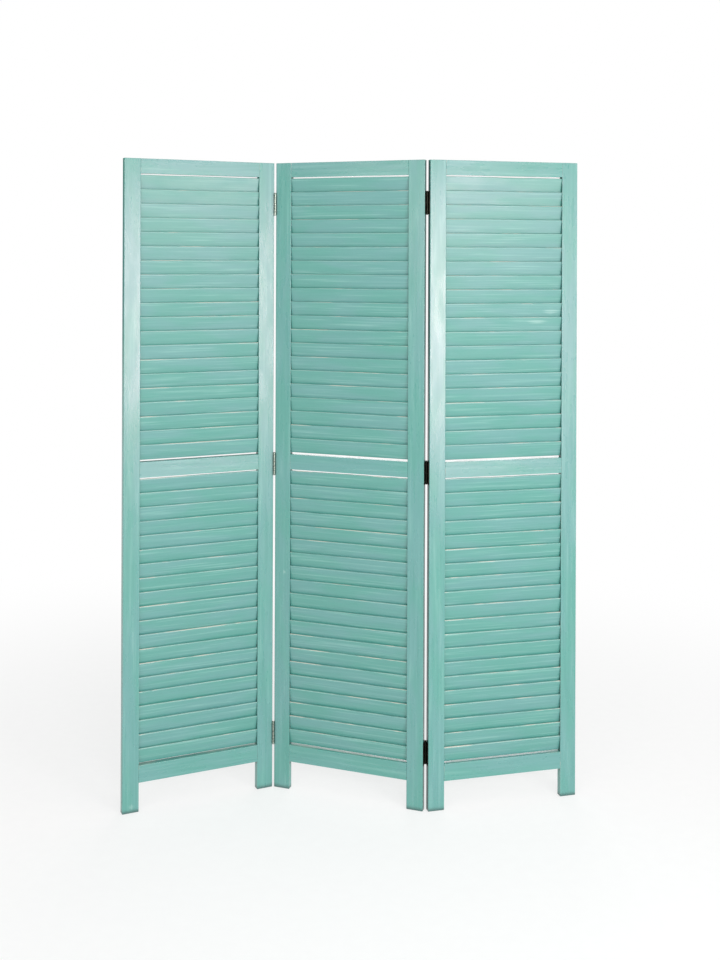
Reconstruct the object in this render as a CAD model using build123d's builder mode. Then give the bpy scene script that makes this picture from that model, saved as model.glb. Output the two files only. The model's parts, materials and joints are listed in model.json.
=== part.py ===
from build123d import *
import os
from math import asin, atan2, cos, degrees, hypot, radians, sin, sqrt

# A folding screen of three louvred panels, in millimetres.
# It stands in a zigzag on z = 0, with x along the screen, y from front to back and z up.
# Each panel has two stiles that run down as legs, three rails and two fields of fixed slats.
# Three butt hinges join the left and centre panels at the front, and three more join the
# centre and right panels at the back.

# Panels
panel_height = 1700.0
panel_width = 418.0
panel_thickness = 17.5
stile_width = 44.0
edge_easing = 1.2

# Rails
floor_clearance = 75.0
bottom_rail_height = 45.0
middle_rail_centre = 888.5
middle_rail_height = 41.0
top_rail_height = 39.0

# Slats: each leans with its top edge forward, as far as the panel's thickness lets it
slats_per_field = 20
slat_width = 40.0
slat_thickness = 5.0
slat_edge_radius = 1.6
slat_setback = 2.2
gap_over_slats = 2.8
gap_under_upper_slats = 4.0
gap_under_lower_slats = 2.4
mortise_depth = 6.0
mortise_clearance = 0.15

# Dowels between rails and stiles
dowel_radius = 4.0
dowel_length = 40.0
dowel_spacing = 20.0
dowel_chamfer = 0.8
dowel_clearance = 0.05
dowel_end_room = 0.4

# Butt hinges
hinge_height = 60.0
top_hinge_drop = 112.0
middle_hinge_drop = 7.5
bottom_hinge_centre = 148.0
leaf_thickness = 1.2
leaf_inset = 2.5
gap_between_leaves = 0.8
knuckle_count = 5
knuckle_gap = 0.3
pin_radius = 1.5
pin_clearance = 0.05
barrel_clearance = 0.3
pin_head_height = 1.6
pin_head_rim = 0.8
pin_head_rounding = 1.2

# Countersunk screws, three to a leaf
screw_length = 16.0
screw_shank_radius = 1.5
screw_point_length = 4.0
screw_point_radius = 0.3
screw_end_margin = 8.0
screw_head_depth = 1.0
screw_head_sink = 0.1
screw_clearance = 0.05
screw_end_room = 0.4
recess_width = 0.7
recess_length = 2.8
recess_depth = 0.7

# How far each panel is turned from the screen's own line, in degrees
left_panel_turn = 24.2
centre_panel_turn = -20.1
right_panel_turn = 14.5

# Sizes that follow from the ones above
mid_depth = panel_thickness / 2
rail_length = panel_width - 2 * stile_width
slat_length = rail_length + 2 * (mortise_depth - mortise_clearance)
slat_room = panel_thickness - 2 * slat_setback
slat_lean = asin(slat_room / hypot(slat_width, slat_thickness)) - atan2(slat_thickness, slat_width)
slat_rise = slat_width * cos(slat_lean) + slat_thickness * sin(slat_lean)

bottom_rail_top = floor_clearance + bottom_rail_height
middle_rail_bottom = middle_rail_centre - middle_rail_height / 2
middle_rail_top = middle_rail_centre + middle_rail_height / 2
top_rail_bottom = panel_height - top_rail_height

knuckle_radius = pin_radius + pin_clearance + leaf_thickness
knuckle_pitch = hinge_height / knuckle_count
knuckle_length = knuckle_pitch - knuckle_gap
half_panel_gap = leaf_thickness + gap_between_leaves / 2
barrel_room = knuckle_radius + barrel_clearance
pin_standoff = sqrt(barrel_room**2 - half_panel_gap**2)
screw_head_radius = screw_shank_radius + screw_head_depth

rails = {
    "bottom_rail": (floor_clearance, bottom_rail_top),
    "middle_rail": (middle_rail_bottom, middle_rail_top),
    "top_rail": (top_rail_bottom, panel_height),
}
slat_fields = {
    "lower_slats": (bottom_rail_top + gap_under_lower_slats, middle_rail_bottom - gap_over_slats),
    "upper_slats": (middle_rail_top + gap_under_upper_slats, top_rail_bottom - gap_over_slats),
}
hinge_centres = {
    "bottom": bottom_hinge_centre,
    "middle": middle_rail_centre - middle_hinge_drop,
    "top": panel_height - top_hinge_drop,
}
screw_rows = (screw_end_margin - hinge_height / 2, 0.0, hinge_height / 2 - screw_end_margin)
all_knuckles = range(knuckle_count)
centre_knuckles = all_knuckles[0::2]
outer_knuckles = all_knuckles[1::2]


# Where the panels stand

def pin_point(edge, face):
    """The pin's place in a panel's own frame, beside its left or right edge and one face."""
    along = -half_panel_gap if edge == "left" else panel_width + half_panel_gap
    depth = -pin_standoff if face == "front" else panel_thickness + pin_standoff
    return Pos(along, depth, 0)


def hung_on(neighbour, neighbour_edge, edge, face, extra_turn):
    """Place of a panel hung on its neighbour's pin and turned about that pin."""
    return neighbour * pin_point(neighbour_edge, face) * Rot(0, 0, extra_turn) * pin_point(edge, face).inverse()


def centred(places):
    """The same places, moved so that the panels' bounding box is centred on the origin."""
    near = edge_easing
    corners = [
        (place * Pos(along, depth, 0)).position
        for place in places
        for along in (near, panel_width - near)
        for depth in (near, panel_thickness - near)
    ]
    middle_x = (min(c.X for c in corners) + max(c.X for c in corners)) / 2
    middle_y = (min(c.Y for c in corners) + max(c.Y for c in corners)) / 2
    return [Pos(-middle_x, -middle_y, 0) * place for place in places]


centre_place = Rot(0, 0, centre_panel_turn)
left_place = hung_on(centre_place, "left", "right", "front", left_panel_turn - centre_panel_turn)
right_place = hung_on(centre_place, "right", "left", "back", right_panel_turn - centre_panel_turn)
left_frame, centre_frame, right_frame = [
    Plane(place) for place in centred([left_place, centre_place, right_place])
]


def cross_plane(frame, along):
    """Upright plane square to a panel's width: x runs from front to back, y runs up."""
    return Plane(frame.from_local_coords((along, 0, 0)), x_dir=frame.y_dir, z_dir=frame.x_dir)


def save(piece, name):
    """Label a finished piece and write it to its own file."""
    piece.part.label = name
    export_step(piece.part, f"parts/{name}.step")


# Rows of slats and dowels, as (depth, height) points on a cross plane

def slat_centres(field):
    """Centres of a field's slats, evenly spaced from its lowest slat to its highest."""
    low, high = slat_fields[field]
    first = low + slat_rise / 2
    pitch = (high - low - slat_rise) / (slats_per_field - 1)
    return [(mid_depth, first + pitch * count) for count in range(slats_per_field)]


def dowel_centres():
    """Centres of the dowels at one end of all three rails."""
    return [
        (mid_depth, (low + high) / 2 + side * dowel_spacing / 2)
        for low, high in rails.values()
        for side in (-1, 1)
    ]


def screw_centres():
    """Centres of the screws along one hinged edge of a panel."""
    return [(mid_depth, centre + row) for centre in hinge_centres.values() for row in screw_rows]


# Wooden pieces

def make_stile(name, frame, edge, hinged):
    """A stile with its slat mortises, its dowel holes and, if hinged, its screw holes."""
    left_edge = 0 if edge == "left" else panel_width - stile_width
    inner = stile_width if edge == "left" else panel_width - stile_width
    outer = 0 if edge == "left" else panel_width
    into_wood = -1 if edge == "left" else 1
    mortise_room = 2 * mortise_clearance
    pilot_depth = screw_length - leaf_thickness + screw_end_room

    with BuildPart() as stile:
        with BuildSketch(frame):
            with Locations((left_edge + stile_width / 2, mid_depth)):
                Rectangle(stile_width, panel_thickness)
        extrude(amount=panel_height)
        fillet(stile.edges(), edge_easing)

        with BuildSketch(cross_plane(frame, inner)):
            with Locations(*slat_centres("lower_slats"), *slat_centres("upper_slats")):
                RectangleRounded(
                    slat_thickness + mortise_room,
                    slat_width + mortise_room,
                    slat_edge_radius + mortise_clearance,
                    rotation=degrees(slat_lean),
                )
        extrude(amount=into_wood * mortise_depth, mode=Mode.SUBTRACT)

        with BuildSketch(cross_plane(frame, inner)):
            with Locations(*dowel_centres()):
                Circle(dowel_radius + dowel_clearance)
        extrude(amount=into_wood * (dowel_length / 2 + dowel_end_room), mode=Mode.SUBTRACT)

        if hinged:
            with BuildSketch(cross_plane(frame, outer)):
                with Locations(*screw_centres()):
                    Circle(screw_shank_radius + screw_clearance)
            extrude(amount=-into_wood * pilot_depth, mode=Mode.SUBTRACT)
    save(stile, name)


def make_rail(name, frame, low, high):
    """A rail between the stiles, bored at both ends for its dowels."""
    middle = (low + high) / 2
    hole_depth = dowel_length / 2 + dowel_end_room

    with BuildPart() as rail:
        with BuildSketch(cross_plane(frame, stile_width)):
            with Locations((mid_depth, middle)):
                RectangleRounded(panel_thickness, high - low, edge_easing)
        extrude(amount=rail_length)
        for end, inward in ((stile_width, 1), (stile_width + rail_length, -1)):
            with BuildSketch(cross_plane(frame, end)):
                with Locations((mid_depth, middle)):
                    with GridLocations(0, dowel_spacing, 1, 2):
                        Circle(dowel_radius + dowel_clearance)
            extrude(amount=inward * hole_depth, mode=Mode.SUBTRACT)
    save(rail, name)


def make_slats(name, frame, field):
    """One field of leaning slats, each let into both stiles."""
    with BuildPart() as slats:
        with BuildSketch(cross_plane(frame, (panel_width - slat_length) / 2)):
            with Locations(*slat_centres(field)):
                RectangleRounded(slat_thickness, slat_width, slat_edge_radius, rotation=degrees(slat_lean))
        extrude(amount=slat_length)
    save(slats, name)


def make_dowels(name, frame):
    """The dowels that pin all three rails to both stiles."""
    with BuildPart() as dowels:
        for joint in (stile_width, panel_width - stile_width):
            with BuildSketch(cross_plane(frame, joint - dowel_length / 2)):
                with Locations(*dowel_centres()):
                    Circle(dowel_radius)
            extrude(amount=dowel_length)
        chamfer(dowels.edges().filter_by(GeomType.CIRCLE), dowel_chamfer)
    save(dowels, name)


# Hinge pieces, drawn in a hinge frame whose origin is the middle of the pin.
# Its x points into the hinged panel's width and its y into that panel's thickness.

def hinge_frame(frame, edge, face, height):
    """The hinge frame at one edge of a panel."""
    origin = frame.from_local_coords((pin_point(edge, face).position.X, pin_point(edge, face).position.Y, height))
    inward = frame.x_dir if edge == "left" else -frame.x_dir
    across = frame.y_dir if face == "front" else -frame.y_dir
    return Plane(origin, x_dir=inward, z_dir=inward.cross(across))


def leaf_face(mount):
    """The leaf's bare side, with its origin midway across the stile and its z out of the wood."""
    origin = mount.from_local_coords((half_panel_gap - leaf_thickness, pin_standoff + mid_depth, 0))
    return Plane(origin, x_dir=mount.y_dir, z_dir=-mount.x_dir)


def make_leaf(name, mount, knuckles):
    """A hinge leaf: a plate on the stile's edge that is rolled round the pin at its knuckles."""
    plate_end = pin_standoff + panel_thickness - leaf_inset
    plate_width = plate_end - barrel_room
    plate_middle = half_panel_gap - leaf_thickness / 2

    with BuildPart() as leaf:
        with BuildSketch(mount.offset(-hinge_height / 2)):
            with Locations((plate_middle, barrel_room + plate_width / 2)):
                Rectangle(leaf_thickness, plate_width)
        extrude(amount=hinge_height)
        for knuckle in knuckles:
            low = (knuckle - knuckle_count / 2) * knuckle_pitch + knuckle_gap / 2
            with BuildSketch(mount.offset(low)):
                Circle(knuckle_radius)
                with Locations((plate_middle, barrel_room / 2)):
                    Rectangle(leaf_thickness, barrel_room)
            extrude(amount=knuckle_length)
        with BuildSketch(mount.offset(-hinge_height / 2)):
            Circle(pin_radius + pin_clearance)
        extrude(amount=hinge_height, mode=Mode.SUBTRACT)
        with Locations(leaf_face(mount)):
            with Locations(*[(0, row) for row in screw_rows]):
                CounterSinkHole(
                    radius=screw_shank_radius + screw_clearance,
                    counter_sink_radius=screw_head_radius + screw_head_sink + screw_clearance,
                    counter_sink_angle=90,
                    depth=leaf_thickness,
                )
    save(leaf, name)


def make_screws(name, mount):
    """The screws of one leaf: a cross-recessed head, a shank and a point."""
    shank_length = screw_length - screw_head_sink - screw_head_depth - screw_point_length
    top = (Align.CENTER, Align.CENTER, Align.MAX)

    with BuildPart() as screws:
        with Locations(leaf_face(mount).offset(-screw_head_sink)):
            with Locations(*[(0, row) for row in screw_rows]):
                Cone(screw_shank_radius, screw_head_radius, screw_head_depth, align=top)
                with Locations((0, 0, -screw_head_depth)):
                    Cylinder(screw_shank_radius, shank_length, align=top)
                with Locations((0, 0, -screw_head_depth - shank_length)):
                    Cone(screw_point_radius, screw_shank_radius, screw_point_length, align=top)
                Box(recess_length, recess_width, recess_depth, align=top, mode=Mode.SUBTRACT)
                Box(recess_width, recess_length, recess_depth, align=top, mode=Mode.SUBTRACT)
    save(screws, name)


def make_pin(name, frame, edge, face, height):
    """A hinge pin with a rounded head on the barrel's top and bottom."""
    place = pin_point(edge, face).position
    grip = hinge_height - knuckle_gap
    foot = frame.from_local_coords((place.X, place.Y, height - grip / 2))
    head_radius = pin_radius + pin_head_rim

    with BuildPart() as pin:
        with BuildSketch(Plane(foot, z_dir=(0, 0, 1))):
            Circle(pin_radius)
        extrude(amount=grip)
        with BuildSketch(Plane(foot, z_dir=(0, 0, 1)).offset(grip)):
            Circle(head_radius)
        extrude(amount=pin_head_height)
        with BuildSketch(Plane(foot, z_dir=(0, 0, 1))):
            Circle(head_radius)
        extrude(amount=-pin_head_height)
        fillet(pin.edges().group_by(Axis.Z)[-1], pin_head_rounding)
        fillet(pin.edges().group_by(Axis.Z)[0], pin_head_rounding)
    save(pin, name)


os.makedirs("parts", exist_ok=True)

for panel, frame in (("left", left_frame), ("centre", centre_frame), ("right", right_frame)):
    make_stile(f"{panel}_panel_left_stile", frame, "left", hinged=panel != "left")
    make_stile(f"{panel}_panel_right_stile", frame, "right", hinged=panel != "right")
    for rail, (low, high) in rails.items():
        make_rail(f"{panel}_panel_{rail}", frame, low, high)
    for field in slat_fields:
        make_slats(f"{panel}_panel_{field}", frame, field)
    make_dowels(f"{panel}_panel_dowels", frame)

for fold, outer_frame, outer_edge, centre_edge, face in (
    ("left", left_frame, "right", "left", "front"),
    ("right", right_frame, "left", "right", "back"),
):
    for level, height in hinge_centres.items():
        outer_mount = hinge_frame(outer_frame, outer_edge, face, height)
        centre_mount = hinge_frame(centre_frame, centre_edge, face, height)
        hinge = f"{fold}_{level}_hinge"
        make_leaf(f"{hinge}_outer_leaf", outer_mount, outer_knuckles)
        make_leaf(f"{hinge}_centre_leaf", centre_mount, centre_knuckles)
        make_screws(f"{hinge}_outer_screws", outer_mount)
        make_screws(f"{hinge}_centre_screws", centre_mount)
        make_pin(f"{hinge}_pin", centre_frame, centre_edge, face, height)

left_pin = centre_frame.from_local_coords(pin_point("left", "front").position)
right_pin = centre_frame.from_local_coords(pin_point("right", "back").position)
foot = centre_frame.from_local_coords((stile_width / 2, mid_depth, 0))
print("left fold axis at", round(left_pin.X, 3), round(left_pin.Y, 3))
print("right fold axis at", round(right_pin.X, 3), round(right_pin.Y, 3))
print("middle of the centre panel's left foot at", round(foot.X, 3), round(foot.Y, 3))
print("slats lean", round(degrees(slat_lean), 2), "degrees")
print("pin stands", round(pin_standoff, 3), "off the panels' faces")
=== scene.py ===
# %% [markdown]
# A louvred folding screen, finished in Blender.
#
# The screen has three wooden panels with a thin turquoise wash, rubbed back to bare wood
# along the slats, and six small bronze hinges. The boards, rails, hinges and screws come
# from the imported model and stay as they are. This lesson gives them their finishes, swaps
# the plain slats for hand-rubbed ones, and sets up the light and the camera.

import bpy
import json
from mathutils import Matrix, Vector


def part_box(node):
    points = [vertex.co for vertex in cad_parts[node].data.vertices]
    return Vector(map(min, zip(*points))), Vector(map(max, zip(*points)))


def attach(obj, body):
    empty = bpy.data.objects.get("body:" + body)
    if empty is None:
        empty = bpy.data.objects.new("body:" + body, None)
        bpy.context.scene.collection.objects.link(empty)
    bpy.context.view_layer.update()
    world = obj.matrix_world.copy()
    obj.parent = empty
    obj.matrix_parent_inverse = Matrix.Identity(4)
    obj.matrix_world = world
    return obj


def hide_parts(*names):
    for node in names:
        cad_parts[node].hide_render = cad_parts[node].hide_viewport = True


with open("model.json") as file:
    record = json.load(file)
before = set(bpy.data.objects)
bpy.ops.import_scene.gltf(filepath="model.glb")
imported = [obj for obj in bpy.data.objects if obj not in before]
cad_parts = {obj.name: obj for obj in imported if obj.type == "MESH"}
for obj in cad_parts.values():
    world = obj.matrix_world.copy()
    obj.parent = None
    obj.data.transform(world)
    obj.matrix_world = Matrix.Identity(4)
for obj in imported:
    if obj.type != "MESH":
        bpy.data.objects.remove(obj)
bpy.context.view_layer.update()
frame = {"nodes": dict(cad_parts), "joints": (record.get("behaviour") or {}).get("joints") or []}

print("nodes in the packed model:", len(frame["nodes"]))

# %% [markdown]
# The three panels stand in a zigzag, so neither the grain nor the slats line up with the
# world's axes. Each panel's place can be read from its two stiles: the line between their
# middles gives the panel's own left-to-right direction. Reading it from the model, instead
# of typing angles in again, keeps the finish right if a fold angle is ever changed.

# %% Find how each panel stands
import json
from math import atan2, cos, degrees, pi, radians, sin

import bpy
from mathutils import Vector, noise

panel_names = ("left_panel", "centre_panel", "right_panel")


def box_middle(node):
    """The middle of a node's box at rest."""
    low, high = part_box(node)
    return (low + high) / 2


panel_turn = {}
panel_middle = {}
for panel in panel_names:
    left_stile = box_middle(f"{panel}_left_stile")
    right_stile = box_middle(f"{panel}_right_stile")
    across = right_stile - left_stile
    panel_turn[panel] = atan2(across.y, across.x)
    panel_middle[panel] = (left_stile + right_stile) / 2
    print(panel, "is turned", round(degrees(panel_turn[panel]), 2), "degrees")

# %% [markdown]
# A finish is a small network of shader nodes. Writing each node out in full takes four or
# five lines, so short helpers do the repeated part: adding a node and plugging in its
# values, mixing two colours, and working with numbers and vectors. Colours are given as
# they look on a screen, from 0 to 255, and turned into the linear values that the shader
# works with.

# %% Helpers for building finishes
def linear(red, green, blue):
    """A shader colour from screen values between 0 and 255."""
    channels = []
    for value in (red, green, blue):
        share = value / 255
        channels.append(share / 12.92 if share <= 0.04045 else ((share + 0.055) / 1.055) ** 2.4)
    return (*channels, 1.0)


def add_node(tree, kind, inputs=None, **settings):
    """Add a shader node, set its options and fill or link its inputs."""
    node = tree.nodes.new(kind)
    for name, value in settings.items():
        setattr(node, name, value)
    for socket, value in (inputs or {}).items():
        if isinstance(value, bpy.types.NodeSocket):
            tree.links.new(value, node.inputs[socket])
        else:
            node.inputs[socket].default_value = value
    return node


def mix_colours(tree, share, first, second):
    """Mix two colours: share 0 gives the first and share 1 the second."""
    node = add_node(tree, "ShaderNodeMix", {0: share, 6: first, 7: second}, data_type="RGBA")
    return node.outputs[2]


def calculate(tree, operation, first, second):
    """A number worked out from two others."""
    node = add_node(tree, "ShaderNodeMath", {0: first, 1: second}, operation=operation)
    return node.outputs[0]


def work_with_vectors(tree, operation, first, second=(0.0, 0.0, 0.0)):
    """The node that works out a vector, or its length, from one or two others."""
    return add_node(tree, "ShaderNodeVectorMath", {0: first, 1: second}, operation=operation)


def length_of(tree, vector):
    """The length of a vector."""
    return work_with_vectors(tree, "LENGTH", vector).outputs["Value"]


def likeness(tree, first, second):
    """How alike two directions are: 1 when they agree and -1 when they are opposite."""
    return work_with_vectors(tree, "DOT_PRODUCT", first, second).outputs["Value"]


def read_attribute(tree, name):
    """A number that was stored at each point of a mesh."""
    return add_node(tree, "ShaderNodeAttribute", attribute_name=name).outputs["Fac"]


def spread(tree, value, low, high, to_low=0.0, to_high=1.0):
    """Stretch the part of a value between low and high, with soft ends."""
    before = {"Value": value, "From Min": low, "From Max": high}
    after = {"To Min": to_low, "To Max": to_high}
    node = add_node(
        tree, "ShaderNodeMapRange", {**before, **after}, interpolation_type="SMOOTHSTEP"
    )
    return node.outputs["Result"]


def relief(tree, height, strength, depth):
    """The direction a surface faces once it has a fine relief of this depth in metres."""
    bumps = {"Strength": strength, "Distance": depth, "Height": height}
    return add_node(tree, "ShaderNodeBump", bumps).outputs[0]


def new_finish(name):
    """An empty material and its shader tree, ready for nodes."""
    material = bpy.data.materials.new(name)
    material.use_nodes = True
    material.node_tree.nodes.clear()
    return material, material.node_tree


def close_finish(tree, inputs):
    """End a shader tree with one surface that has these inputs."""
    surface = add_node(tree, "ShaderNodeBsdfPrincipled", inputs)
    add_node(tree, "ShaderNodeOutputMaterial", {"Surface": surface.outputs[0]})


print("a middle grey for the shader:", [round(share, 3) for share in linear(128, 128, 128)])

# %% [markdown]
# Wood grain is noise that is stretched a long way in one direction. On the stiles it runs
# up and down, and on the rails and slats it runs along the panel, so the coordinates are
# first turned to stand square with the panel and then squeezed along the grain. They are
# the object's own coordinates, so the grain stays on the wood when a panel folds. Each
# board also gets its own offset, because no two boards come from the same tree.

# %% Coordinates and grain that follow a panel
board_shift = (17.3, 5.9, 11.7)


def panel_coordinates(tree, turn, board_number):
    """Metres along, through and up a panel, shifted by a different amount for each board."""
    own = add_node(tree, "ShaderNodeTexCoord").outputs["Object"]
    square = add_node(tree, "ShaderNodeMapping", {"Vector": own, "Rotation": (0, 0, -turn)})
    scaling = {0: board_shift, "Scale": board_number}
    shift = add_node(tree, "ShaderNodeVectorMath", scaling, operation="SCALE")
    return work_with_vectors(tree, "ADD", square.outputs[0], shift.outputs[0]).outputs[0]


def grain_noise(tree, place, upright, along, through, detail, twist=0.0):
    """Noise with so many lumps a metre along the grain and through it."""
    scale = (through, through, along) if upright else (along, through, through)
    squeezed = add_node(tree, "ShaderNodeMapping", {"Vector": place, "Scale": scale}).outputs[0]
    inputs = {"Vector": squeezed, "Scale": 1.0, "Detail": detail, "Distortion": twist}
    return add_node(tree, "ShaderNodeTexNoise", inputs).outputs["Fac"]


print("offset between two boards:", board_shift)

# %% [markdown]
# The wash is a water-thin turquoise paint, wiped on so that the grain still shows, then
# sanded by hand. The wood takes it unevenly, so its colour drifts between mint and a greyer
# blue, with fine streaks along the grain, both lighter and darker. One flat colour with a
# little noise would look like plastic, so four kinds of noise are laid over one another,
# from broad drifts to single fibres.

# %% Tones of the wash and its grain
mint_wash = linear(79, 151, 140)
blue_wash = linear(91, 151, 147)
deep_wash = linear(66, 140, 130)
pale_wash = linear(124, 178, 169)
thin_wash = linear(158, 194, 184)
rubbed_wood = linear(210, 205, 190)
# painted shade: the darker colour for the stiles' inner corners
corner_shade_colour = linear(40, 92, 87)
knocked_wash = linear(176, 208, 200)

drift_grain = {"along": 5, "through": 20, "detail": 3.0, "twist": 0.3}
board_streaks = {"along": 5, "through": 130, "detail": 4.0, "twist": 0.4}
slat_streaks = {"along": 5, "through": 260, "detail": 4.0, "twist": 0.4}
fibre_grain = {"along": 20, "through": 900, "detail": 2.0}
patch_grain = {"along": 12, "through": 40, "detail": 3.0}


def streaked_wash(tree, drift, streak, fibre, deep_share, pale_share):
    """The wash before any wear: a drifting tone with deeper and paler streaks in it."""
    colour = mix_colours(tree, spread(tree, drift, 0.36, 0.64), mint_wash, blue_wash)
    deep_streaks = spread(tree, streak, 0.50, 0.28, 0.0, deep_share)
    pale_streaks = spread(tree, streak, 0.52, 0.74, 0.0, pale_share)
    deep_fibres = spread(tree, fibre, 0.50, 0.32, 0.0, 0.16)
    colour = mix_colours(tree, deep_streaks, colour, deep_wash)
    colour = mix_colours(tree, pale_streaks, colour, pale_wash)
    return mix_colours(tree, deep_fibres, colour, deep_wash)


print("fibres in a millimetre of board:", fibre_grain["through"] / 1000)

# %% [markdown]
# Wear follows the shape. A sanding block bites first at the arrises. The inner corners, where
# shade falls, are darkened in the colour as painted shade, and faces that look up are made
# paler, partly as wear and partly as painted light. These could be painted with masks, but then
# each board would need its own. Shader nodes find them on any shape. A Bevel node rounds the
# surface normal near an edge, and wherever the rounded normal differs from the real one,
# there is an edge. An Ambient Occlusion node tells how shut in a spot is.

# %% Find edges, corners and fronts
edge_reach = 0.0014
corner_shade_reach = 0.016
flat_match, edge_match = 0.995, 0.90
open_spot, shut_spot = 0.95, 0.60
steep_face, level_face = 0.4, 0.9


def rubbed_edges(tree, reach):
    """How near the surface is to an arris: 0 on a flat face and 1 on the edge itself."""
    rounded = add_node(tree, "ShaderNodeBevel", {"Radius": reach}, samples=6).outputs[0]
    real = add_node(tree, "ShaderNodeNewGeometry").outputs["Normal"]
    return spread(tree, likeness(tree, rounded, real), flat_match, edge_match)


def worn_and_lit_tops(tree, most):
    """Up to this share on faces that look up, and 0 on the others: partly wear, partly painted
    light.
    """
    normal = add_node(tree, "ShaderNodeNewGeometry").outputs["Normal"]
    up = add_node(tree, "ShaderNodeSeparateXYZ", {0: normal}).outputs["Z"]
    return spread(tree, up, steep_face, level_face, 0.0, most)


def painted_corner_shade(tree, most):
    """Painted shade: up to this share deep in an inner corner, where shade falls, and 0 in the
    open.
    """
    reach = {"Distance": corner_shade_reach}
    openness = add_node(tree, "ShaderNodeAmbientOcclusion", reach, samples=8).outputs["AO"]
    return spread(tree, openness, open_spot, shut_spot, 0.0, most)


def front_faces(tree, turn):
    """1 on faces that look out of a panel's front and 0 on its edges and back."""
    normal = add_node(tree, "ShaderNodeTexCoord").outputs["Normal"]
    out_of_front = (sin(turn), -cos(turn), 0)
    return spread(tree, likeness(tree, normal, out_of_front), 0.2, 0.6)


print("paint is thin within", edge_reach * 1000, "mm of an arris")
# the reach of the painted shade in the inner corners
print("paint is deep within", corner_shade_reach * 1000, "mm of an inner corner")

# %% [markdown]
# The photograph shows a few knocks where the paint is rubbed thin: a dent at the left foot,
# one on the middle panel's left stile, and a scuff across two slats of the right panel.
# They are too shallow to change the outline, so they are only painted. Each is a soft spot
# around a point, and the grain's streaks give it a ragged outline.

# %% Knocks and scuffs
# Each row: the spot in metres, how far it reaches each way, and how pale it is.
stile_knocks = {
    "left_panel": [((-0.5719, -0.0833, 0.0159), (0.007, 0.01, 0.006), 0.2)],
    "centre_panel": [((-0.1813, 0.0672, 0.5881), (0.0040, 0.01, 0.0065), 0.5)],
}
slat_knocks = {
    "right_panel": [
        ((0.5290, 0.0280, 1.2980), (0.017, 0.03, 0.014), 0.25),
        ((0.4930, 0.0130, 1.2740), (0.026, 0.03, 0.006), 0.3),
    ],
}


def knock(tree, colour, turn, grit, spot, reach, paleness):
    """The colour with one knock in it: paler within reach of a spot, on the front only."""
    own = add_node(tree, "ShaderNodeTexCoord").outputs["Object"]
    away = work_with_vectors(tree, "SUBTRACT", own, spot).outputs[0]
    shrink = tuple(1 / value for value in reach)
    squeezed = work_with_vectors(tree, "MULTIPLY", away, shrink).outputs[0]
    roughening = spread(tree, grit, 0.36, 0.64, 0.7, -0.5)
    ragged = calculate(tree, "ADD", length_of(tree, squeezed), roughening)
    on_front = calculate(tree, "MULTIPLY", front_faces(tree, turn), paleness)
    share = calculate(tree, "MULTIPLY", spread(tree, ragged, 1.1, 0.1), on_front)
    return mix_colours(tree, share, colour, knocked_wash)


print("panels with knocks:", sorted([*stile_knocks, *slat_knocks]))

# %% [markdown]
# Thin paint and bare wood are two stages of the same wear. The boards take theirs from the
# masks above. The slats could do the same, but on them the photograph shows one worn line
# along the upper front arris, with gaps and ragged ends. So the slats' own meshes, which
# come later, store at each point how worn it is, and the finish only reads those values.

# %% Thin paint and bare wood
def slat_wear(tree, streak, patch):
    """Where a slat's paint is thin and where it's rubbed through, from its stored values."""
    top_edge = read_attribute(tree, "top_edge")
    thin = calculate(tree, "MULTIPLY", top_edge, spread(tree, patch, 0.30, 0.62, 0.25, 0.9))
    ragged = spread(tree, streak, 0.3, 0.7, -0.25, 0.25)
    broken = calculate(tree, "ADD", read_attribute(tree, "wear"), ragged)
    return thin, spread(tree, broken, 0.50, 0.95, 0.0, 0.85)


def board_wear(tree, patch, upright):
    """Where a board's paint is thin and where it's rubbed through, from its arrises."""
    edge = rubbed_edges(tree, edge_reach)
    thin = calculate(tree, "MULTIPLY", edge, spread(tree, patch, 0.40, 0.62, 0.0, 0.5))
    # the rails' top faces are made paler too: partly wear, partly painted light where the slats
    # above shade them
    if not upright:
        edge = calculate(tree, "MAXIMUM", edge, worn_and_lit_tops(tree, 0.20))
    rubbed = calculate(tree, "MULTIPLY", edge, spread(tree, patch, 0.50, 0.66, 0.0, 0.9))
    return thin, rubbed


def uneven_sheen(tree, streak, patch, rubbed, smoothest, roughest):
    """Roughness that drifts in soft patches and is higher where the wood is bare."""
    patch_part = calculate(tree, "MULTIPLY", patch, 0.8)
    streak_part = calculate(tree, "MULTIPLY", streak, 0.2)
    smear = calculate(tree, "ADD", patch_part, streak_part)
    sheen = spread(tree, smear, 0.32, 0.68, smoothest, roughest)
    return calculate(tree, "ADD", sheen, calculate(tree, "MULTIPLY", rubbed, 0.2))


smoothest_slat, roughest_slat = 0.30, 0.44
smoothest_board, roughest_board = 0.24, 0.34
print("roughness of the slats:", smoothest_slat, "to", roughest_slat)
print("roughness of the boards:", smoothest_board, "to", roughest_board)

# %% [markdown]
# Now the finish itself, laid on like coats of paint: the streaked wash, the painted shade in the
# inner corners, the thin paint, the bare wood and the knocks last. Each panel gets three of
# them, for its stiles, its rails and its slats, because the grain runs up the stiles and along
# the rest, and because every panel is turned its own way.

# %% The washed wood
wash_gloss = {"IOR": 1.6, "Specular IOR Level": 0.8, "Specular Tint": (1.0, 0.72, 0.77, 1.0)}
wash_relief = 0.0002
darkest_painted_corner_shade = 0.95
fibre_height = 0.6


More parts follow.
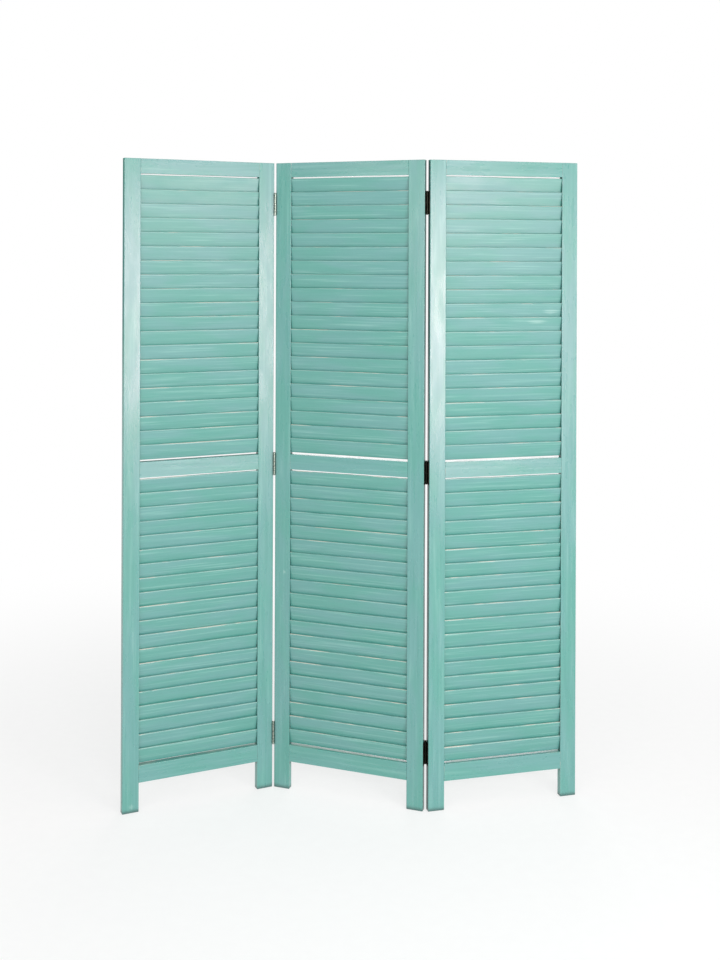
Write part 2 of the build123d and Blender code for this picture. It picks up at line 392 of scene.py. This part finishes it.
def washed_wood(name, turn, upright=False, slats=False, knocks=()):
    """Turquoise wash over grain, for the boards or the slats of one panel."""
    material, tree = new_finish(name)
    if slats:
        board = read_attribute(tree, "slat")
        streak_grain, deep_share, pale_share = slat_streaks, 0.35, 0.60
        smoothest, roughest = smoothest_slat, roughest_slat
    else:
        board = add_node(tree, "ShaderNodeObjectInfo").outputs["Random"]
        streak_grain, deep_share, pale_share = board_streaks, 0.45, 0.35
        smoothest, roughest = smoothest_board, roughest_board
    place = panel_coordinates(tree, turn, board)
    drift = grain_noise(tree, place, upright, **drift_grain)
    streak = grain_noise(tree, place, upright, **streak_grain)
    fibre = grain_noise(tree, place, upright, **fibre_grain)
    patch = grain_noise(tree, place, upright, **patch_grain)

    colour = streaked_wash(tree, drift, streak, fibre, deep_share, pale_share)
    # painted shade: the stiles' inner corners are darkened in the colour
    if upright:
        colour = mix_colours(tree, painted_corner_shade(tree, darkest_painted_corner_shade), colour, corner_shade_colour)
    thin, rubbed = slat_wear(tree, streak, patch) if slats else board_wear(tree, patch, upright)
    colour = mix_colours(tree, thin, colour, thin_wash)
    colour = mix_colours(tree, rubbed, colour, rubbed_wood)
    for spot, reach, paleness in knocks:
        colour = knock(tree, colour, turn, streak, spot, reach, paleness)

    height = calculate(tree, "ADD", calculate(tree, "MULTIPLY", fibre, fibre_height), streak)
    surface = {
        "Base Color": colour,
        "Roughness": uneven_sheen(tree, streak, patch, rubbed, smoothest, roughest),
        "Normal": relief(tree, height, 0.3, wash_relief),
    }
    close_finish(tree, {**surface, **wash_gloss})
    return material


upright_wood = {}
level_wood = {}
slat_wood = {}
for panel in panel_names:
    turn = panel_turn[panel]
    stile_marks = stile_knocks.get(panel, ())
    slat_marks = slat_knocks.get(panel, ())
    upright_wood[panel] = washed_wood(
        f"{panel}_upright_wash", turn, upright=True, knocks=stile_marks
    )
    level_wood[panel] = washed_wood(f"{panel}_level_wash", turn)
    slat_wood[panel] = washed_wood(f"{panel}_slat_wash", turn, slats=True, knocks=slat_marks)
print("washed finishes:", len(upright_wood) + len(level_wood) + len(slat_wood))

# %% [markdown]
# The dowels are beech straight from the lathe. They sit inside the joints and never show,
# but a part that is taken to pieces should still look right, so they get bare wood with
# short brown flecks.

# %% The bare wood of the dowels
def bare_wood():
    """Pale beech with fine flecks along the panel."""
    material, tree = new_finish("bare_dowel_wood")
    place = add_node(tree, "ShaderNodeTexCoord").outputs["Object"]
    grain = grain_noise(tree, place, False, along=12, through=500, detail=3.0)
    fleck = grain_noise(tree, place, False, along=160, through=1500, detail=1.0)
    pale_beech, deep_beech = linear(214, 180, 138), linear(190, 150, 108)
    colour = mix_colours(tree, spread(tree, grain, 0.3, 0.7), pale_beech, deep_beech)
    flecks = spread(tree, fleck, 0.62, 0.70, 0.0, 0.6)
    colour = mix_colours(tree, flecks, colour, linear(140, 98, 66))
    surface = {
        "Base Color": colour,
        "Roughness": spread(tree, grain, 0.3, 0.7, 0.55, 0.7),
        "Normal": relief(tree, grain, 0.3, 0.0001),
    }
    close_finish(tree, surface)
    return material


dowel_wood = bare_wood()
print("finish of the dowels:", dowel_wood.name)

# %% [markdown]
# The hinges are steel with a dark bronze finish. It is a thin, nearly black skin over bright
# metal, so it wears through at the edges, and it is never one even tone. The barrels at the
# left fold stand out in front of the wood and catch the light, so their metal is painted light
# there: a painted highlight, with some real wear. A barrel is found by its distance from the
# fold's axis, which the frame gives. The hinges at the right fold lie between the panels, in
# shade, and keep the dark skin. A metal shader tints its own reflections, which is what makes
# bronze read as bronze: dark paint would look like plastic.

# %% The hinges' bronze and the screws' steel
bronze_skin = linear(52, 50, 43)
bronze_dark = linear(32, 31, 26)
worn_bronze_and_barrel_highlight = linear(170, 176, 166)
dull_steel = linear(120, 117, 106)
bright_steel = linear(206, 203, 192)
barrel_radius = 0.0034
mottles_per_metre = 260.0
specks_per_metre = 1500.0


def painted_barrel_highlight(tree, place, fold):
    """Painted highlight: 1 on the hinges' barrels, where they catch the light, and 0 on their
    leaves, by the distance from the fold's axis.
    """
    axis = next(joint for joint in frame["joints"] if joint["name"] == fold)["pos_m"]
    offset = work_with_vectors(tree, "SUBTRACT", place, (axis[0], axis[1], 0.0)).outputs[0]
    level_offset = work_with_vectors(tree, "MULTIPLY", offset, (1, 1, 0)).outputs[0]
    beyond, within = barrel_radius * 1.15, barrel_radius * 0.9
    return spread(tree, length_of(tree, level_offset), beyond, within)


def worn_metal(name, dark, skin, worn, wear_reach, fold=None):
    """Metal with a mottled skin, worn bright at its edges and, for one fold, painted bright on
    its barrels as a highlight.
    """
    material, tree = new_finish(name)
    place = add_node(tree, "ShaderNodeTexCoord").outputs["Object"]
    coarse = {"Vector": place, "Scale": mottles_per_metre, "Detail": 4.0}
    fine = {"Vector": place, "Scale": specks_per_metre, "Detail": 2.0}
    mottle = add_node(tree, "ShaderNodeTexNoise", coarse).outputs["Fac"]
    specks = add_node(tree, "ShaderNodeTexNoise", fine).outputs["Fac"]
    colour = mix_colours(tree, spread(tree, mottle, 0.3, 0.7), dark, skin)
    rub = rubbed_edges(tree, wear_reach)
    # for the left fold, the barrels get the light metal as a painted highlight
    if fold:
        rub = calculate(tree, "MAXIMUM", rub, painted_barrel_highlight(tree, place, fold))
    rub = calculate(tree, "MULTIPLY", rub, spread(tree, mottle, 0.34, 0.56, 0.25, 1.0))
    colour = mix_colours(tree, rub, colour, worn)
    surface = {
        "Base Color": colour,
        "Metallic": 1.0,
        "Roughness": spread(tree, mottle, 0.3, 0.7, 0.30, 0.46),
        "Normal": relief(tree, specks, 0.25, 0.00005),
    }
    close_finish(tree, surface)
    return material


hinge_metal = {
    "left": worn_metal(
        "left_hinge_bronze",
        bronze_dark,
        bronze_skin,
        worn_bronze_and_barrel_highlight,
        wear_reach=0.0004,
        fold="left_panel_fold",
    ),
    "right": worn_metal(
        "right_hinge_bronze", bronze_dark, bronze_skin, dull_steel, wear_reach=0.0002
    ),
}
screw_metal = worn_metal(
    "screw_steel", bronze_skin, dull_steel, bright_steel, wear_reach=0.0003
)
print("metal finishes:", [metal.name for metal in (*hinge_metal.values(), screw_metal)])

# %% [markdown]
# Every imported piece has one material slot, and filling it changes the look without touching
# the shape. The names say what each piece is, so its finish follows from its name.

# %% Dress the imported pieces
def dress(piece, material):
    """Put one finish on a whole piece."""
    piece.data.materials.clear()
    piece.data.materials.append(material)
    for face in piece.data.polygons:
        face.material_index = 0


def finish_for(name):
    """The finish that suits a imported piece."""
    panel = name[: name.find("_panel") + len("_panel")]
    if name.endswith("dowels"):
        return dowel_wood
    if name.endswith("screws"):
        return screw_metal
    if "hinge" in name:
        return hinge_metal[name.split("_")[0]]
    if name.endswith("stile"):
        return upright_wood[panel]
    return level_wood[panel]


for name, piece in frame["nodes"].items():
    dress(piece, finish_for(name))
print("dressed pieces:", len(frame["nodes"]))

# %% [markdown]
# A slat is a thin board, 40 mm by 5 mm, with rounded edges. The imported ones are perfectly
# straight. Real ones bow by a fraction of a millimetre, and the sanding block takes the
# most off their upper front arris, a little here and more there. A material can't bend an
# outline, so each slat is built again as a mesh: its rounded section is swept along the
# panel in short steps, and every step is bowed and rubbed down by a smooth noise.
#
# The section is walked round once. Each point keeps how exposed it is, from 1 on the upper
# front arris to 0 on the flat faces, and that number decides both how much wood comes off
# there and how much of the bare wood shows. Beside each arris the flat faces have three
# points close together. They keep the smooth shading of a rubbed arris from spreading over
# the whole face as a wavy band of light.

# %% The outline of a slat
slat_width = 0.040
slat_thickness = 0.005
slat_edge_radius = 0.0016
slat_lean = radians(11.84)
slat_length = 0.3417
slats_per_field = 20
corner_steps = 4
face_steps = 4
front_exposure = 1.0
back_exposure = 0.7
lower_front_exposure = 0.2
lower_back_exposure = 0.1
worn_margins = (0.0003, 0.0016, 0.0020)


def corner_points(depth, height, start, end, exposure):
    """Points round one rounded corner, from a start angle to an end angle in degrees."""
    points = []
    for step in range(corner_steps + 1):
        angle = radians(start + (end - start) * step / corner_steps)
        out_depth, out_height = cos(angle), sin(angle)
        far_depth = depth + slat_edge_radius * out_depth
        far_height = height + slat_edge_radius * out_height
        points.append((far_depth, far_height, out_depth, out_height, exposure))
    return points


def face_points(side, half_height, exposure):
    """Points down a flat face, which is the front one for side -1 and the back one for 1."""
    levels = [half_height * (1 - 2 * step / face_steps) for step in range(1, face_steps)]
    heights = [half_height - margin for margin in worn_margins]
    heights += levels
    heights += [margin - half_height for margin in reversed(worn_margins)]
    exposures = [0.5 * exposure] + [0.0] * (len(heights) - 1)
    depth = side * slat_thickness / 2
    return [(depth, height, side, 0.0, share) for height, share in zip(heights, exposures)]


def slat_outline():
    """Points round an upright slat, each as (depth, height, out depth, out height, exposure)."""
    half_depth = slat_thickness / 2 - slat_edge_radius
    half_height = slat_width / 2 - slat_edge_radius
    points = corner_points(-half_depth, half_height, 90, 180, front_exposure)
    points += face_points(-1, half_height, front_exposure)
    points += corner_points(-half_depth, -half_height, 180, 270, lower_front_exposure)
    points += corner_points(half_depth, -half_height, 270, 360, lower_back_exposure)
    points += reversed(face_points(1, half_height, back_exposure))
    points += corner_points(half_depth, half_height, 0, 90, back_exposure)
    return points


outline = slat_outline()
print("points round a slat:", len(outline))

# %% [markdown]
# Where the rubbing falls is decided by noise along the slat: long stretches stay painted and
# short ones are worn through. Because the noise depends only on the slat's number and on how
# far along it is, the script draws the same wear every time. The odd numbers beside the
# slat's own number only move each noise to a place of its own, so that no two match.

# %% Bow and wear along a slat
length_steps = 48
deepest_rub = 0.0005
largest_bow = 0.0005
usual_rub = 0.30
long_waves_per_metre = 11
short_waves_per_metre = 46


def rub_at(slat, along):
    """How hard the sanding block pressed here, from 0 to 1."""
    slow = noise.noise(Vector((along * long_waves_per_metre, slat * 7.31, 1.7)))
    quick = noise.noise(Vector((along * short_waves_per_metre, slat * 3.17, 8.2)))
    return min(1.0, max(0.0, usual_rub + slow + 0.5 * quick))


def bow_at(slat, share):
    """How far a slat bends out of line, forward and up, at a share of its length."""
    forward = noise.noise(Vector((slat * 5.13, 2.2, 4.4)))
    up = noise.noise(Vector((slat * 9.71, 6.1, 0.3)))
    bend = largest_bow * sin(pi * share)
    return bend * forward, bend * 0.6 * up


for slat in (1, 2, 3):
    print("slat", slat, "is rubbed in its middle by", round(rub_at(slat, 0.0), 2))

# %% [markdown]
# A slat is now a row of such outlines along the panel, joined by faces and closed at both
# ends. The 20 slats of a field become one piece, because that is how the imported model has
# them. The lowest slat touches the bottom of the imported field's box and the highest one
# its top, and the rest are spaced evenly in between.

# %% The points and faces of one slat
side_wear = 0.25
points_per_ring = len(outline)


def slat_points(panel, slat, level):
    """The points of one slat, ring by ring, each as (place, wear, top edge)."""
    turn = panel_turn[panel]
    width_way = Vector((cos(turn), sin(turn), 0))
    depth_way = Vector((-sin(turn), cos(turn), 0))
    points = []
    for step in range(length_steps + 1):
        share = step / length_steps
        along = (share - 0.5) * slat_length
        forward, up = bow_at(slat, share)
        rub = rub_at(slat, along)
        for depth, height, out_depth, out_height, exposure in outline:
            inset = deepest_rub * rub * exposure
            bent_depth = depth - out_depth * inset - forward
            bent_height = height - out_height * inset + up
            leaned_depth = bent_depth * cos(slat_lean) - bent_height * sin(slat_lean)
            leaned_height = bent_depth * sin(slat_lean) + bent_height * cos(slat_lean)
            spot = panel_middle[panel] + width_way * along + depth_way * leaned_depth
            place = (spot.x, spot.y, level + leaned_height)
            wear = rub * exposure * max(0.0, out_height + side_wear)
            points.append((place, wear, exposure * max(0.0, out_height)))
    return points


def slat_faces(start):
    """The faces of one slat whose first point has this number."""
    faces = []
    for step in range(length_steps):
        near = start + step * points_per_ring
        far = near + points_per_ring
        for point in range(points_per_ring):
            after = (point + 1) % points_per_ring
            faces.append((near + point, far + point, far + after, near + after))
    faces.append(tuple(start + point for point in range(points_per_ring)))
    last = start + length_steps * points_per_ring
    faces.append(tuple(last + point for point in reversed(range(points_per_ring))))
    return faces


print("faces of one slat:", len(slat_faces(0)))

# %% Build one field of slats
grain_step = 0.731


def build_slats(panel, field, first_number):
    """All the slats between two rails, as one mesh that keeps each point's wear."""
    node = f"{panel}_{field}"
    low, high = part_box(node)
    rise = (slat_width - 2 * slat_edge_radius) * cos(slat_lean)
    rise += (slat_thickness - 2 * slat_edge_radius) * sin(slat_lean) + 2 * slat_edge_radius
    pitch = (high.z - low.z - rise) / (slats_per_field - 1)

    points, faces, numbers = [], [], []
    for count in range(slats_per_field):
        slat = first_number + count
        faces += slat_faces(len(points))
        one_slat = slat_points(panel, slat, low.z + rise / 2 + pitch * count)
        points += one_slat
        numbers += [slat * grain_step] * len(one_slat)
    places, wear, top_edge = zip(*points)

    mesh = bpy.data.meshes.new(f"{node}_rubbed")
    mesh.from_pydata(places, [], faces)
    for name, values in (("wear", wear), ("top_edge", top_edge), ("slat", numbers)):
        mesh.attributes.new(name, "FLOAT", "POINT").data.foreach_set("value", values)
    mesh.shade_smooth()
    mesh.update()
    piece = bpy.data.objects.new(f"{node}_rubbed", mesh)
    bpy.context.scene.collection.objects.link(piece)
    dress(piece, slat_wood[panel])
    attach(piece, panel)
    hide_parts(node)
    return piece


next_number = 1
for panel in panel_names:
    for field in ("lower_slats", "upper_slats"):
        piece = build_slats(panel, field, next_number)
        next_number += slats_per_field
        print(piece.name, "has", len(piece.data.vertices), "points")

# %% [markdown]
# The floor is a plain, pale studio floor. It is a wide disc with its middle under the
# screen, and it lies a hair below the feet, because two surfaces at the same height would
# flicker. A curved backdrop could hide the horizon, but it would have to stand behind the
# screen for every view. Here the floor simply fades into the white of the background.

# %% The floor
floor_radius = 14.0
floor_steps = 96
floor_drop = 0.0004
fade_start = 0.8
fade_end = 2.6
least_glow = 0.66


def build_floor():
    """A wide, pale disc that fades to white far from the screen."""
    rim = []
    for step in range(floor_steps):
        angle = 2 * pi * step / floor_steps
        rim.append((floor_radius * cos(angle), floor_radius * sin(angle), -floor_drop))
    mesh = bpy.data.meshes.new("studio_floor")
    mesh.from_pydata(rim, [], [tuple(range(floor_steps))])
    floor = bpy.data.objects.new("studio_floor", mesh)
    bpy.context.scene.collection.objects.link(floor)

    material, tree = new_finish("pale_floor")
    place = add_node(tree, "ShaderNodeTexCoord").outputs["Object"]
    speckles = {"Vector": place, "Scale": 30.0, "Detail": 5.0}
    speckle = add_node(tree, "ShaderNodeTexNoise", speckles).outputs["Fac"]
    tone = spread(tree, speckle, 0.3, 0.7)
    colour = mix_colours(tree, tone, linear(245, 245, 244), linear(248, 248, 247))
    matt = add_node(tree, "ShaderNodeBsdfPrincipled", {"Base Color": colour, "Roughness": 0.7})
    white = {"Color": linear(255, 255, 255), "Strength": 1.0}
    glow = add_node(tree, "ShaderNodeEmission", white)
    fade = spread(tree, length_of(tree, place), fade_start, fade_end, least_glow, 1.0)
    layers = {0: fade, 1: matt.outputs[0], 2: glow.outputs[0]}
    both = add_node(tree, "ShaderNodeMixShader", layers)
    add_node(tree, "ShaderNodeOutputMaterial", {"Surface": both.outputs[0]})
    dress(floor, material)
    return floor


floor = build_floor()
print("floor:", floor.name, "with a radius of", floor_radius, "m")

# %% [markdown]
# The light is that of a small product studio. The camera sees white surroundings, but as
# light they are dim at the back left and bright at the front right. If they were equally
# bright all round, every slat would look flat, because light would reach it from all sides.
#
# Four softboxes do the rest. The front one is the strongest and lights the whole screen
# evenly. The key, at the front right, gives the left and right panels their soft sheen,
# because their faces turn towards it, and leaves the centre panel a shade deeper. The fill
# softens the shadows on the left, and the back one only lets the back be seen. For a sheen,
# a softbox's size matters more than its strength: a larger one makes it wider and weaker.

# %% The studio light
dim_side = 0.12
bright_side = 0.90
towards_bright_side = (0.68, -0.54, 0.50)

# Each row: its place, what it faces, its width and height in metres, and its watts.
softboxes = {
    "key_softbox": ((1.85, -2.55, 1.15), (0.0, 0.0, 0.95), 1.0, 1.15, 35.0),
    "fill_softbox": ((-1.6, -2.9, 1.75), (0.0, 0.0, 1.1), 1.4, 1.2, 11.0),
    "front_softbox": ((0.4, -3.9, 1.9), (0.0, 0.0, 0.9), 1.6, 1.0, 58.0),
    "back_softbox": ((0.5, 3.6, 1.9), (0.0, 0.0, 0.9), 1.6, 1.2, 18.0),
}


def build_surroundings():
    """White as the camera sees it, but as light brighter on one side than on the other."""
    world = bpy.data.worlds.new("studio_white")
    bpy.context.scene.world = world
    world.use_nodes = True
    tree = world.node_tree
    tree.nodes.clear()
    direction = add_node(tree, "ShaderNodeTexCoord").outputs["Generated"]
    facing = likeness(tree, direction, towards_bright_side)
    light = spread(tree, facing, -1.0, 1.0, dim_side, bright_side)
    seen = add_node(tree, "ShaderNodeLightPath").outputs["Is Camera Ray"]
    white = {"Color": (1, 1, 1, 1), "Strength": calculate(tree, "MAXIMUM", light, seen)}
    background = add_node(tree, "ShaderNodeBackground", white)
    add_node(tree, "ShaderNodeOutputWorld", {"Surface": background.outputs[0]})


def add_softbox(name, place, target, width, height, watts):
    """A rectangular lamp at a place, facing a target."""
    lamp = bpy.data.lights.new(name, "AREA")
    lamp.shape = "RECTANGLE"
    lamp.size = width
    lamp.size_y = height
    lamp.energy = watts
    box = bpy.data.objects.new(name, lamp)
    box.location = place
    box.rotation_euler = (Vector(target) - Vector(place)).to_track_quat("-Z", "Y").to_euler()
    bpy.context.scene.collection.objects.link(box)


build_surroundings()
for name, (place, target, width, height, watts) in softboxes.items():
    add_softbox(name, place, target, width, height, watts)
    print(name, "gives", watts, "W")
bpy.context.scene.view_settings.view_transform = "Standard"

# %% [markdown]
# The camera stands 3.2 m in front of the screen and 1.45 m up, and looks level, which is
# why the stiles stay upright in the picture. The screen then sits low and to the right in
# the lens, so the frame is shifted instead of the camera being tilted. The place, the focal
# length and the shift were worked out from the panels' corners.

# %% The camera
image_width = 720.0
image_height = 960.0
focal_pixels = 1200.6
centre_column = 314.28
centre_row = 256.91
camera_place = (-0.0900, -3.1965, 1.4450)
camera_roll = radians(-0.212)
camera_yaw = radians(0.261)
sensor_width = 36.0

lens = bpy.data.cameras.new("camera")
lens.sensor_fit = "HORIZONTAL"
lens.sensor_width = sensor_width
lens.lens = focal_pixels / image_width * sensor_width
lens.shift_x = (image_width / 2 - centre_column) / image_width
lens.shift_y = (centre_row - image_height / 2) / image_width
camera = bpy.data.objects.new("camera", lens)
camera.location = camera_place
camera.rotation_euler = (pi / 2, camera_roll, camera_yaw)
bpy.context.scene.collection.objects.link(camera)
bpy.context.scene.camera = camera
print("focal length:", round(lens.lens, 2), "mm")
print("shift:", round(lens.shift_x, 4), round(lens.shift_y, 4))
